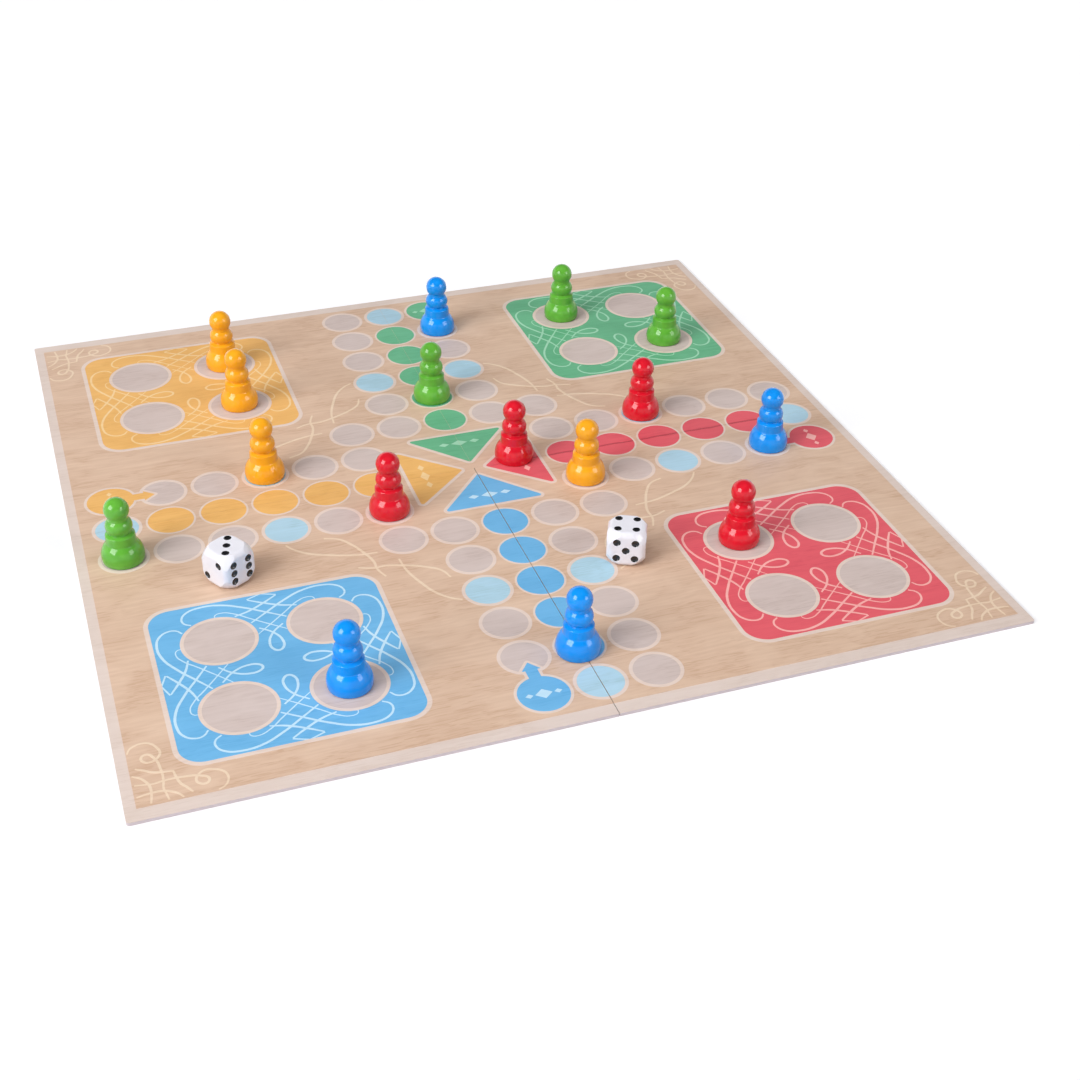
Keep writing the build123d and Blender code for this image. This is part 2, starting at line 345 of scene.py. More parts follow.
def printed_paper(name, pale, deep, crease="#7A5A4A", crease_shade_share=0.0, cut_edge_shade=None):
    """Ink on varnished paper: its colours over pale and dark grain, and painted shade in the crease and on
    the cut edge.
    """
    made, tree, output = blank_material(name)
    grain = add(tree, "ShaderNodeGroup", node_tree=OAK_GRAIN)
    figure = add(tree, "ShaderNodeMix", {0: grain.outputs["Grain"], 6: linear(pale), 7: linear(deep)},
                 data_type="RGBA").outputs[2]
    # Painted shade along the right crease, in the crease colour.
    painted_crease_shade = add(tree, "ShaderNodeMath", {0: grain.outputs["Crease"], 1: crease_shade_share},
               operation="MULTIPLY").outputs[0]
    colour = add(tree, "ShaderNodeMix", {0: painted_crease_shade, 6: figure, 7: linear(crease)},
                 data_type="RGBA").outputs[2]
    place = add(tree, "ShaderNodeTexCoord").outputs["Object"]
    if cut_edge_shade:
        # Painted shade: the turned-down side of the margin paper gets a darker, greyer colour.
        height = add(tree, "ShaderNodeSeparateXYZ", {0: place}).outputs["Z"]
        edge_middle = (face_top - EDGE_DEPTH) / 2
        on_edge = add(tree, "ShaderNodeMath", {0: height, 1: edge_middle * MM,
                      2: (edge_middle - EDGE_START) * MM}, operation="COMPARE")
        colour = add(tree, "ShaderNodeMix", {0: on_edge.outputs[0], 6: colour, 7: linear(cut_edge_shade)},
                     data_type="RGBA").outputs[2]
    fibre = add(tree, "ShaderNodeTexNoise", {"Vector": place, "Scale": 1 / (PAPER_FIBRE * MM),
                "Detail": 2.0})
    bump = add(tree, "ShaderNodeBump", {"Height": fibre.outputs[0], "Strength": 0.12,
               "Distance": PAPER_RELIEF * MM})
    gloss = add(tree, "ShaderNodeBsdfPrincipled", {"Base Color": colour, "Roughness": 0.5,
                "Specular IOR Level": 0.4, "Normal": bump.outputs[0]})
    tree.links.new(gloss.outputs[0], output.inputs["Surface"])
    return made


# The crease colours are painted shade, faint on the oak and strong on the red ink.
oak_print = printed_paper("oak_print_on_paper", "#DFC2AB", "#CAA88F", crease_shade_share=0.15)
margin_paper = printed_paper("whitewashed_margin_paper", "#E0D0C8", "#D6C4BA", cut_edge_shade="#CDC0C4")
track_ink = printed_paper("grey_beige_ink", "#D4C4BF", "#C4B2AC")
safe_ink = printed_paper("pale_blue_ink", "#B5D7EB", "#A5C7D6")
outline_ink = printed_paper("cream_outline", "#E6D3C9", "#DBC6BA")
faint_ink = printed_paper("cream_flourish", "#ECD6BF", "#E0C7AD")
player_inks = {
    "orange": printed_paper("orange_ink", "#EFBB71", "#E2AB60"),
    "green": printed_paper("green_ink", "#6EB98F", "#5DAA80"),
    "red": printed_paper("red_ink", "#E5616C", "#D95562", crease="#A22A3A", crease_shade_share=0.8),
    "blue": printed_paper("blue_ink", "#73B8E6", "#65ABDB"),
}
flourish_inks = {
    "orange": printed_paper("pale_orange_flourish", "#F4D3A0", "#EDC890"),
    "green": printed_paper("pale_green_flourish", "#A9DCBE", "#9BD2B2"),
    "red": printed_paper("pale_red_flourish", "#F8B9B4", "#F2AAA6"),
    "blue": printed_paper("pale_blue_flourish", "#C7E4F6", "#B6DAF0"),
}
print(len(bpy.data.materials), "materials so far")

# %% [markdown]
# Greyboard is pressed waste paper. It shows only as a thin edge, at the slit and where a panel
# has been folded away: dull, with coarse fibres and next to no gloss. Its colour, between grey and
# beige, is painted paler than greyboard is, standing in for the light that spills into the narrow slit.

# %% Greyboard
GREYBOARD_FIBRE, GREYBOARD_RELIEF = 0.6, 0.06


def pressed_board(name, pale, deep):
    """Unvarnished pressed fibres."""
    made, tree, output = blank_material(name)
    place = add(tree, "ShaderNodeTexCoord").outputs["Object"]
    fibre = add(tree, "ShaderNodeTexNoise", {"Vector": place, "Scale": 1 / (GREYBOARD_FIBRE * MM),
                "Detail": 4.0, "Roughness": 0.7})
    colour = add(tree, "ShaderNodeMix", {0: fibre.outputs[0], 6: linear(pale), 7: linear(deep)},
                 data_type="RGBA")
    bump = add(tree, "ShaderNodeBump", {"Height": fibre.outputs[0], "Strength": 0.5,
               "Distance": GREYBOARD_RELIEF * MM})
    dull = add(tree, "ShaderNodeBsdfPrincipled", {"Base Color": colour.outputs[2], "Roughness": 0.9,
               "Specular IOR Level": 0.2, "Normal": bump.outputs[0]})
    tree.links.new(dull.outputs[0], output.inputs["Surface"])
    return made


# Paler than real greyboard: painted light for the narrow slit.
grey_fibre = pressed_board("greyboard_fibre", "#D2C8BD", "#BAAFA3")


def dress(node, material):
    """Gives a node from the frame its finish."""
    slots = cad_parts[node].data.materials
    slots.clear()
    slots.append(material)


for panel in PANELS:
    dress("greyboard_" + panel, grey_fibre)
    dress("backing_paper_" + panel, margin_paper)
    dress("face_sheet_" + panel, oak_print)
print(3 * len(PANELS), "sheets and boards dressed")

# %% [markdown]
# The pawns are turned from beech and dipped in nitrocellulose lacquer. A thick clear-set colour
# like that is smooth and very glossy, and it levels into slow waves that bend its highlights a
# little. The clear coat gives the sharp pair of highlights, and the slow bump gives the waves.

# %% Lacquered pawns
LACQUER_WAVE, LACQUER_RELIEF = 5.0, 0.12
POOL_LEVELS = (0.35, 0.75)


def dipped_lacquer(name, hex_colour, deep):
    """A dipped, glossy colour that pools slightly darker and paler over the turned wood."""
    made, tree, output = blank_material(name)
    place = add(tree, "ShaderNodeTexCoord").outputs["Object"]
    wave = add(tree, "ShaderNodeTexNoise", {"Vector": place, "Scale": 1 / (LACQUER_WAVE * MM),
               "Detail": 1.0})
    pooled = add(tree, "ShaderNodeMapRange", {0: wave.outputs[0], 1: POOL_LEVELS[0], 2: POOL_LEVELS[1]})
    colour = add(tree, "ShaderNodeMix", {0: pooled.outputs[0], 6: linear(hex_colour), 7: linear(deep)},
                 data_type="RGBA")
    bump = add(tree, "ShaderNodeBump", {"Height": wave.outputs[0], "Strength": 0.15,
               "Distance": LACQUER_RELIEF * MM})
    coat = add(tree, "ShaderNodeBsdfPrincipled", {"Base Color": colour.outputs[2], "Roughness": 0.3,
               "Specular IOR Level": 0.04, "Coat Weight": 1.0, "Coat Roughness": 0.07, "Coat IOR": 1.46,
               "Normal": bump.outputs[0], "Coat Normal": bump.outputs[0]})
    tree.links.new(coat.outputs[0], output.inputs["Surface"])
    return made


lacquers = {
    "orange": dipped_lacquer("orange_dipped_lacquer", "#F7AB1C", "#F0A116"),
    "green": dipped_lacquer("green_dipped_lacquer", "#65B43B", "#57A432"),
    "red": dipped_lacquer("red_dipped_lacquer", "#DC1229", "#CE0F25"),
    "blue": dipped_lacquer("blue_dipped_lacquer", "#0094F5", "#0089E8"),
}
pawns = sorted(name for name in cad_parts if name.startswith("pawn_"))
for name in pawns:
    dress(name, lacquers[name.split("_")[1]])
print(len(pawns), "pawns lacquered")

# %% [markdown]
# A die is moulded in white acrylic, which comes out of its polished mould smooth, glossy and a
# cool, faintly cloudy white, and its dished pips are filled with black paint. The material finds
# the pips from the die's own axes. A die is a box with rounded edges, so every point of its faces
# and edges is one rounding away from a smaller box inside. Only a pip is nearer to that box, and so
# are the rounded corners, but they lie farther from the die's middle than any pip.

# %% Dice
DIE_TURNS = {"die_left": -59.5, "die_right": -25.0}
DIE_FLAT_REACH = 5.5
PIP_DIP = 0.03
PIP_REACH = 10.54
DIE_CLOUD = 4.0


def moulded_die(node):
    """White moulded plastic, with black paint in the pips."""
    low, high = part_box(node)
    half = (high.z - low.z) / 2
    made, tree, output = blank_material("white_moulded_plastic_" + node)
    place = add(tree, "ShaderNodeTexCoord").outputs["Object"]
    own = add(tree, "ShaderNodeMapping", {"Vector": place, "Location": (low + high) / 2,
              "Rotation": (0, 0, math.radians(DIE_TURNS[node]))}, vector_type="TEXTURE").outputs[0]
    sizes = add(tree, "ShaderNodeVectorMath", {0: own}, operation="ABSOLUTE").outputs[0]
    inner_box = [DIE_FLAT_REACH * MM] * 3
    beyond = add(tree, "ShaderNodeVectorMath", {0: sizes, 1: inner_box}, operation="SUBTRACT").outputs[0]
    outward = add(tree, "ShaderNodeVectorMath", {0: beyond, 1: (0, 0, 0)}, operation="MAXIMUM").outputs[0]
    rounding = add(tree, "ShaderNodeVectorMath", {0: outward}, operation="LENGTH").outputs["Value"]
    from_middle = add(tree, "ShaderNodeVectorMath", {0: own}, operation="LENGTH").outputs["Value"]
    full = half - (DIE_FLAT_REACH + PIP_DIP) * MM
    dished = add(tree, "ShaderNodeMath", {0: rounding, 1: full}, operation="LESS_THAN").outputs[0]
    near = add(tree, "ShaderNodeMath", {0: from_middle, 1: PIP_REACH * MM},
               operation="LESS_THAN").outputs[0]
    painted = add(tree, "ShaderNodeMath", {0: dished, 1: near}, operation="MULTIPLY").outputs[0]
    cloud = add(tree, "ShaderNodeTexNoise", {"Vector": place, "Scale": 1 / (DIE_CLOUD * MM), "Detail": 1.0})
    plastic = add(tree, "ShaderNodeMix", {0: cloud.outputs[0], 6: linear("#EFEEF6"),
                  7: linear("#E8E7F1")}, data_type="RGBA")
    colour = add(tree, "ShaderNodeMix", {0: painted, 6: plastic.outputs[2], 7: linear("#0C0C12")},
                 data_type="RGBA")
    gloss = add(tree, "ShaderNodeBsdfPrincipled", {"Base Color": colour.outputs[2], "Roughness": 0.16,
                "Specular IOR Level": 0.5, "Coat Weight": 0.3, "Coat Roughness": 0.06})
    tree.links.new(gloss.outputs[0], output.inputs["Surface"])
    return made


for node in DIE_TURNS:
    dress(node, moulded_die(node))
print(len(DIE_TURNS), "dice moulded and painted")

# %% [markdown]
# A ludo layout follows one rule: circles of one size stand at one pitch along four arms. The pawns
# stand on the middles of circles, so their places give the pitch and the middles of the home
# squares. The reach of a few areas of ink gives the rest, and nothing is measured twice.

# %% The layout of the print
ARMS = {"blue": (0, -1), "orange": (-1, 0), "green": (0, 1), "red": (1, 0)}
HOME_SIDES = {"blue": (-1, -1), "orange": (-1, 1), "green": (1, 1), "red": (1, -1)}
FIRST_CIRCLE, SAFE_CIRCLE, LAST_CIRCLE = 2, 4, 7
WAITING_RADIUS = 13.4
RUN_RADIUS = 9.6

pitch = sum(node_box("pawn_blue_2"), Vector()).x / 2 / (LAST_CIRCLE - 1)
waiting_pawn = sum(node_box("pawn_blue_4"), Vector()) / 2
home_centre = -(waiting_pawn.x + waiting_pawn.y) / 2
home_offset = (waiting_pawn.x - waiting_pawn.y) / 2
circle_radius = -node_box("safe_print_front_left")[0].y - LAST_CIRCLE * pitch
start_radius = -node_box("blue_print_front_left")[0].y - LAST_CIRCLE * pitch
home_half = node_box("orange_print_back_left")[1].y - home_centre


def track_place(out, beside, way):
    """A circle's centre: so many circles out along an arm, and so many clockwise of its middle."""
    return Vector((out * way[0] + beside * way[1], out * way[1] - beside * way[0])) * pitch


def home_place(colour, right=0, away=0):
    """The middle of a home square, or of the waiting circle on one side of it."""
    side_x, side_y = HOME_SIDES[colour]
    return Vector((side_x * home_centre + right * home_offset, side_y * home_centre + away * home_offset))


waiting_places = [home_place(c, right, away) for c in ARMS for right in (-1, 1) for away in (-1, 1)]
run_places = {c: [track_place(out, 0, ARMS[c]) for out in range(FIRST_CIRCLE, LAST_CIRCLE)] for c in ARMS}
start_places = {c: track_place(LAST_CIRCLE, 1, ARMS[c]) for c in ARMS}
safe_places, track_places = [], []
for way in ARMS.values():
    safe_places += [track_place(out, beside, way)
                    for out, beside in ((LAST_CIRCLE, 0), (SAFE_CIRCLE, 1), (SAFE_CIRCLE, -1))]
    track_places.append(track_place(FIRST_CIRCLE, FIRST_CIRCLE, way))
    for beside, end in ((1, LAST_CIRCLE), (-1, LAST_CIRCLE + 1)):
        track_places += [track_place(out, beside, way)
                         for out in range(FIRST_CIRCLE, end) if out != SAFE_CIRCLE]
print(f"circles {pitch:.2f} mm apart, radius {circle_radius:.1f}; home squares {2 * home_half:.0f} mm wide")

# %% [markdown]
# Real ink has next to no height, but a render needs to know which ink lies on top. So each kind
# of ink is a closed film, and the films end at least four thousandths of a millimetre apart, in
# the order in which a printer would lay them down. All of them stay below the feet of the pieces.

# %% Heights of the inks above the face sheet
FLAT_INK = 0.040
PEN_INK = 0.066
RING_INK = 0.072
SIGN_INK = 0.076
SIGN_EDGE_INK = 0.080
MOTIF_INK = 0.084
CLOSE_LAP = 0.05
print(f"{node_box('pawn_blue_2')[0].z - face_top - MOTIF_INK:.3f} mm of air over the highest ink")

# %% [markdown]
# Circles repeat by the dozen, so Geometry Nodes set them out. The tree takes a mesh that is only
# points, puts a short cylinder on each, and makes the copies real. A tree is worth its few nodes:
# the same one prints the track, the safe circles, the home runs and the waiting circles.

# %% A tree that sets out round films of ink
CIRCLE_STEPS = 96


def new_tree(name, **sizes):
    """An empty Geometry Nodes tree, with a named input for each of its sizes and its material."""
    tree = bpy.data.node_groups.new(name, "GeometryNodeTree")
    tree.interface.new_socket("Geometry", in_out="INPUT", socket_type="NodeSocketGeometry")
    for size, start in sizes.items():
        socket = tree.interface.new_socket(size, in_out="INPUT", socket_type="NodeSocketFloat")
        socket.default_value = start * MM
    tree.interface.new_socket("Material", in_out="INPUT", socket_type="NodeSocketMaterial")
    tree.interface.new_socket("Geometry", in_out="OUTPUT", socket_type="NodeSocketGeometry")
    return tree, tree.nodes.new("NodeGroupInput").outputs


def end_tree(tree, given, geometry):
    """Makes a tree's copies real, gives them their material, and ends it."""
    real = add(tree, "GeometryNodeRealizeInstances", {"Geometry": geometry}).outputs[0]
    inked = add(tree, "GeometryNodeSetMaterial", {"Geometry": real, "Material": given["Material"]})
    add(tree, "NodeGroupOutput", {"Geometry": inked.outputs[0]})
    return tree


def disc_tree():
    """Puts a round film on each point."""
    tree, given = new_tree("discs_on_points", Radius=9, Height=0.04)
    disc = add(tree, "GeometryNodeMeshCylinder", {"Vertices": CIRCLE_STEPS, "Radius": given["Radius"],
               "Depth": given["Height"]})
    copies = add(tree, "GeometryNodeInstanceOnPoints", {"Points": given["Geometry"],
                 "Instance": disc.outputs["Mesh"]})
    return end_tree(tree, given, copies.outputs[0])


DISC_TREE = disc_tree()
print("discs:", len(DISC_TREE.nodes), "nodes")

# %% [markdown]
# Every circle has a pale ring round it. A ring is a rectangle swept round a circle, and the second
# tree puts one on each point.

# %% A tree that sets out rings


def ring_tree():
    """Sweeps a flat rectangle round a circle on each point."""
    tree, given = new_tree("rings_on_points", Radius=9, Width=1.4, Height=0.07)
    half = add(tree, "ShaderNodeMath", {0: given["Width"], 1: 0.5}, operation="MULTIPLY").outputs[0]
    middle = add(tree, "ShaderNodeMath", {0: given["Radius"], 1: half}, operation="ADD").outputs[0]
    line = add(tree, "GeometryNodeCurvePrimitiveCircle", {"Resolution": CIRCLE_STEPS,
               "Radius": middle}).outputs[0]
    flat = add(tree, "GeometryNodeSetCurveNormal", {"Curve": line}, mode="Z_UP").outputs[0]
    section = add(tree, "GeometryNodeCurvePrimitiveQuadrilateral", {"Width": given["Width"],
                  "Height": given["Height"]})
    ring = add(tree, "GeometryNodeCurveToMesh", {"Curve": flat, "Profile Curve": section.outputs[0]})
    copies = add(tree, "GeometryNodeInstanceOnPoints", {"Points": given["Geometry"],
                 "Instance": ring.outputs[0]})
    return end_tree(tree, given, copies.outputs[0])


RING_TREE = ring_tree()
print("rings:", len(RING_TREE.nodes), "nodes")

# %% [markdown]
# The flourishes are penwork, as writing masters drew it: one line that loops over itself, and
# swells where the pen is pressed. The third tree sweeps a flat rectangle along each line, and
# scales it from the tips to the middle, so that a line is drawn by a few points only. The press is
# an arch, the share drawn times the share left, which is a quarter at its top.

# %% A tree that draws with a broad pen
PEN_TIP_SHARE, ARCH_TOP = 0.66, 0.25


def pen_tree():
    """Sweeps a flat rectangle along each line, wider in the middle than at the tips."""
    tree, given = new_tree("pen_strokes", Width=0.9, Height=0.13)
    flat = add(tree, "GeometryNodeSetCurveNormal", {"Curve": given["Geometry"]}, mode="Z_UP").outputs[0]
    along = add(tree, "GeometryNodeSplineParameter").outputs["Factor"]
    left = add(tree, "ShaderNodeMath", {0: 1.0, 1: along}, operation="SUBTRACT").outputs[0]
    arch = add(tree, "ShaderNodeMath", {0: along, 1: left}, operation="MULTIPLY").outputs[0]
    press = add(tree, "ShaderNodeMapRange", {0: arch, 2: ARCH_TOP, 3: PEN_TIP_SHARE}).outputs[0]
    section = add(tree, "GeometryNodeCurvePrimitiveQuadrilateral", {"Width": given["Width"],
                  "Height": given["Height"]})
    stroke = add(tree, "GeometryNodeCurveToMesh", {"Curve": flat, "Profile Curve": section.outputs[0],
                 "Scale": press, "Fill Caps": True}).outputs[0]
    return end_tree(tree, given, stroke)


PEN_TREE = pen_tree()
print("pen:", len(PEN_TREE.nodes), "nodes")

# %% [markdown]
# These are the points and lines that the trees start from. A tree runs on a passing object, and
# what it makes is kept as a plain mesh. A pen line is a Bezier curve with automatic handles, so it
# flows through its points as a hand would.

# %% Points and pen lines for the trees
PEN_STEPS = 8


def made_by(tree, data, material, **sizes):
    """The plain mesh of some points or lines, after a tree of nodes where one is given."""
    maker = bpy.data.objects.new(data.name, data)
    bpy.context.collection.objects.link(maker)
    if tree:
        nodes = maker.modifiers.new(tree.name, "NODES")
        nodes.node_group = tree
        values = {name: size * MM for name, size in sizes.items()} | {"Material": material}
        for socket in tree.interface.items_tree:
            if socket.in_out == "INPUT" and socket.name in values:
                nodes[socket.identifier] = values[socket.name]
    seen = maker.evaluated_get(bpy.context.evaluated_depsgraph_get())
    mesh = bpy.data.meshes.new_from_object(seen)
    bpy.data.objects.remove(maker)
    return mesh


def film_points(places, top):
    """A mesh that is only points, half way up a film on the face sheet."""
    points = bpy.data.meshes.new("film_points")
    points.from_pydata([(x * MM, y * MM, (face_top + top / 2) * MM) for x, y in places], [], [])
    return points


def discs(places, radius, top, material):
    """Round films of ink, up to a height above the face sheet."""
    return made_by(DISC_TREE, film_points(places, top), material, Radius=radius, Height=top)


def rings(places, radius, width, top, material):
    """Flat rings round some places, from a radius outwards."""
    return made_by(RING_TREE, film_points(places, top), material, Radius=radius - CLOSE_LAP,
                   Width=width + CLOSE_LAP, Height=top)


def pen_lines(lines, width, material):
    """Penwork on the face sheet. The strokes are half sunk in it, so their tips stay above the ink."""
    drawn = bpy.data.curves.new("pen_lines", "CURVE")
    drawn.dimensions = "3D"
    drawn.resolution_u = PEN_STEPS
    for line in lines:
        stroke = drawn.splines.new("BEZIER")
        stroke.bezier_points.add(len(line) - 1)
        for knot, (x, y) in zip(stroke.bezier_points, line):
            knot.co = (x * MM, y * MM, face_top * MM)
            knot.handle_left_type = knot.handle_right_type = "AUTO"
    return made_by(PEN_TREE, drawn, material, Width=width, Height=2 * PEN_INK)


# %% [markdown]
# The home squares, start signs and finish triangles aren't round, so they are flat curves that
# Blender fills: an outline, and the holes in it. A flat curve leaves its faces unjoined, so they
# are merged and turned outwards.

# %% Slabs of ink with a drawn outline
SHARP_TURN, CORNER_STEPS = 0.2, 12


def arc(centre, radius, start, end, steps):
    """Points along an arc, from one angle to another."""
    turns = [start + (end - start) * i / steps for i in range(steps + 1)]
    return [Vector((centre[0] + radius * math.cos(a), centre[1] + radius * math.sin(a))) for a in turns]


def grown(outline, growth):
    """An anticlockwise outline, moved outwards all round. The corners it opens become round."""
    moved = []
    for before, here, after in zip(outline[-1:] + outline[:-1], outline, outline[1:] + outline[:1]):
        arriving, leaving = (here - before).normalized(), (after - here).normalized()
        turn = math.atan2(arriving.x * leaving.y - arriving.y * leaving.x, arriving.dot(leaving))
        start = math.atan2(-arriving.x, arriving.y)
        if turn * growth > 0 and abs(turn) > SHARP_TURN:
            moved += arc(here, growth, start, start + turn, CORNER_STEPS)
        else:
            corner = Vector((math.cos(start + turn / 2), math.sin(start + turn / 2)))
            moved.append(here + corner * growth / math.cos(turn / 2))
    return moved


def facing(points, way, place=(0, 0)):
    """Points drawn about the origin for an arm along +X, turned to an arm and moved to a place."""
    return [Vector((x * way[0] - y * way[1] + place[0], x * way[1] + y * way[0] + place[1]))
            for x, y in points]


def slab(outlines, top):
    """A closed slab on the face sheet, with each outline after the first as a hole or an island."""
    flat = bpy.data.curves.new("slab", "CURVE")
    flat.dimensions = "2D"
    flat.fill_mode = "BOTH"
    flat.extrude = top / 2
    for outline in outlines:
        line = flat.splines.new("POLY")
        line.points.add(len(outline) - 1)
        line.use_cyclic_u = True
        for point, (x, y) in zip(line.points, outline):
            point.co = (x, y, 0, 1)
    mesh = made_by(None, flat, None)
    work = bmesh.new()
    work.from_mesh(mesh)
    bmesh.ops.remove_doubles(work, verts=work.verts, dist=top / 10)
    bmesh.ops.recalc_face_normals(work, faces=work.faces)
    work.to_mesh(mesh)
    work.free()
    mesh.transform(Matrix.Scale(MM, 4) @ Matrix.Translation((0, 0, face_top + top / 2)))
    return mesh


# %% [markdown]
# The start sign is a circle with an arrow that points into play, and the finish triangles meet
# round the centre. Each has a pale outline, which is the same shape grown, with the shape itself
# as its hole.

# %% Signs, triangles and squares
CIRCLE_EDGE, SIGN_EDGE, TRIANGLE_EDGE, SQUARE_EDGE = 1.4, 1.1, 1.4, 1.8
SQUARE_CORNER = 9.0
ARROW_REACH, ARROW_HEAD_WIDTH, ARROW_HEAD_LENGTH, ARROW_NECK_WIDTH = 18.9, 7.8, 4.8, 4.9
TRIANGLE_BASE_OUT, TRIANGLE_HALF_WIDTH, TRIANGLE_APEX_OUT, TRIANGLE_CORNER = 30.4, 22.6, 5.2, 1.0
SIGN_STEPS = 64


def start_sign(colour):
    """The start circle and its arrow towards the centre."""
    neck, barb, back = ARROW_NECK_WIDTH / 2, ARROW_HEAD_WIDTH / 2, ARROW_HEAD_LENGTH - ARROW_REACH
    mouth = math.asin(neck / start_radius)
    outline = arc((0, 0), start_radius, math.pi + mouth, 3 * math.pi - mouth, SIGN_STEPS)
    outline += [(back, neck), (back, barb), (-ARROW_REACH, 0), (back, -barb), (back, -neck)]
    return facing(outline, ARMS[colour], start_places[colour])


def finish_triangle(colour):
    """One quarter of the finish, with its point towards the centre."""
    corners = [(TRIANGLE_APEX_OUT, 0), (TRIANGLE_BASE_OUT, -TRIANGLE_HALF_WIDTH),
               (TRIANGLE_BASE_OUT, TRIANGLE_HALF_WIDTH)]
    return grown(grown(facing(corners, ARMS[colour]), -TRIANGLE_CORNER), TRIANGLE_CORNER)


def home_square(colour):
    """The round-cornered edge of a home square."""
    corners = [(-home_half, -home_half), (home_half, -home_half), (home_half, home_half),
               (-home_half, home_half)]
    return grown(grown(facing(corners, (1, 0), home_place(colour)), -SQUARE_CORNER), SQUARE_CORNER)


def pale_edge(shape, width, top):
    """A pale edge round a shape, as a slab with the shape as its hole."""
    return slab([grown(shape, width), grown(shape, -CLOSE_LAP)], top)


def waiting_holes(colour, radius):
    """Round holes for the four waiting circles of a home square."""
    last = CIRCLE_STEPS - 1
    return [arc(home_place(colour, right, away), radius, 0, math.tau * last / CIRCLE_STEPS, last)
            for right in (-1, 1) for away in (-1, 1)]


print(f"start circles {2 * start_radius:.1f} mm wide, with arrows that reach {ARROW_REACH} mm")

# %% [markdown]
# The penwork of a home square is drawn once, for the side nearest the player, as millimetres from
# the square's middle. Mirrored and turned by quarters, it fills all four sides. The corner knots
# and the flourishes at the crossing of the arms are drawn for one corner and mirrored the same way.
# The sheet is slightly longer from side to side, so a knot's diagonal is that of its own corner.

# %% Penwork
HOME_BROAD_PEN, HOME_FINE_PEN = 1.05, 0.6
KNOT_PEN, CROSS_PEN = 1.0, 1.15
HOME_LOOP = [(-29.1, -33.1), (-31.6, -35.2), (-31.9, -38.4), (-29.4, -41.8), (-24.5, -43.4), (-16.5, -42.6),
             (-7.7, -38.1), (0, -32.6), (6.9, -27.6)]
HOME_CURL = [(-19.6, -34.2), (-19.3, -36.6), (-16.6, -37.4), (-12.2, -35.4), (-7.2, -30.9), (0, -24.6),
             (5.6, -19.8)]
HOME_CROSS = [(-12.2, -33.6), (-6.6, -35.3), (0, -38.9), (5.6, -42.6)]
HOME_TICK = [(5.8, -42.9), (0, -45.2)]
HOME_TEAR = [(-4.6, -23.6), (0, -19.2), (2.5, -13.4), (1.8, -9), (0, -7.8), (-1.8, -9), (-2.5, -13.4),
             (0, -19.2), (4.6, -23.6)]
KNOT_LINES = [
    [(-170.4, -141.3), (-169.2, -138.9), (-167.2, -137.6), (-164.7, -137.2), (-162, -138.2), (-160.1, -141),
     (-159.4, -144), (-160.9, -146.6), (-163.5, -147.8), (-165.4, -147), (-166.1, -145), (-165, -143.6),
     (-163.2, -143.8), (-161.9, -145.8), (-160.9, -148.4), (-160.5, -151.5), (-160.2, -155), (-160.4, -159),
     (-160.8, -162), (-160.3, -165), (-159.8, -168.2)],
    [(-168.8, -149.7), (-166, -151.3), (-163.3, -153.1), (-160, -154), (-156.2, -154.6)],
    [(-170.3, -153), (-167.9, -154.7), (-166.2, -157), (-165.2, -159.4), (-165, -162.7), (-165.3, -165.3),
     (-165.8, -168.2)],
]
CROSS_LINES = [
    [(-91.9, -33.6), (-89.8, -37.1), (-84.1, -42.3), (-76.8, -45.7), (-66.0, -49.2), (-57.3, -50.1)],
    [(-75.9, -33.6), (-70.3, -35.8), (-66.0, -41.4), (-62.9, -47.9), (-60.3, -56.1), (-60.3, -61.3),
     (-58.2, -67.4)],
]
AS_DRAWN, MIRRORED = 1, -1


def four_sides(lines, middle, flips):
    """Lines drawn for the near side of a square, as drawn or mirrored, repeated on its other sides."""
    return [facing([(x * flip, y) for x, y in line], way, middle)
            for line in lines for flip in flips for way in ((1, 0), (0, 1), (-1, 0), (0, -1))]


def four_corners(lines, longer=0.0):
    """Lines drawn for the near left corner, mirrored on its diagonal and in the other corners."""
    both = lines + [[(y - longer, x + longer) for x, y in line] for line in lines]
    return [[(-x * side_x, -y * side_y) for x, y in line]
            for line in both for side_x, side_y in PANELS.values()]


print(len(four_corners(KNOT_LINES)), "lines in the corners,", len(four_corners(CROSS_LINES)), "at the arms")

# %% [markdown]
# Where a start sign or a finish triangle needs a mark, it gets a small row of lozenges, an old
# printer's ornament.

# %% Rows of lozenges
SIGN_LOZENGES = [(0, 2.7, 3.4), (5.6, 1.2, 1.6), (-5.6, 1.2, 1.6)]
TRIANGLE_LOZENGES = [(0, 2.2, 3.8), (7.2, 1.5, 2.4), (-7.2, 1.5, 2.4)]
TRIANGLE_ROW_OUT = 22.6


def lozenges(row, out, colour, place=(0, 0)):
    """A row of lozenges across an arm, each so far aside and of so much half length and half width."""
    return [facing([(out + long, aside), (out, aside + wide), (out - long, aside), (out, aside - wide)],
                   ARMS[colour], place) for aside, long, wide in row]


print(len(SIGN_LOZENGES) + len(TRIANGLE_LOZENGES), "lozenges for each player")

# %% [markdown]
# Now every layer of print is made once for the whole board, and then cut along the creases and
# the slit, so that each panel carries its own quarter when it folds. A cut leaves a film open
# along the crease, so the cut is closed again. The trees leave their faces on a second slot, and
# clearing the finishes puts every face back on the first.

# %% Cutting the print to the panels
ON_THE_CUT = 1e-8


def joined(meshes):
    """One working mesh with the faces of several."""
    work = bmesh.new()
    for mesh in meshes:
        work.from_mesh(mesh)
    return work


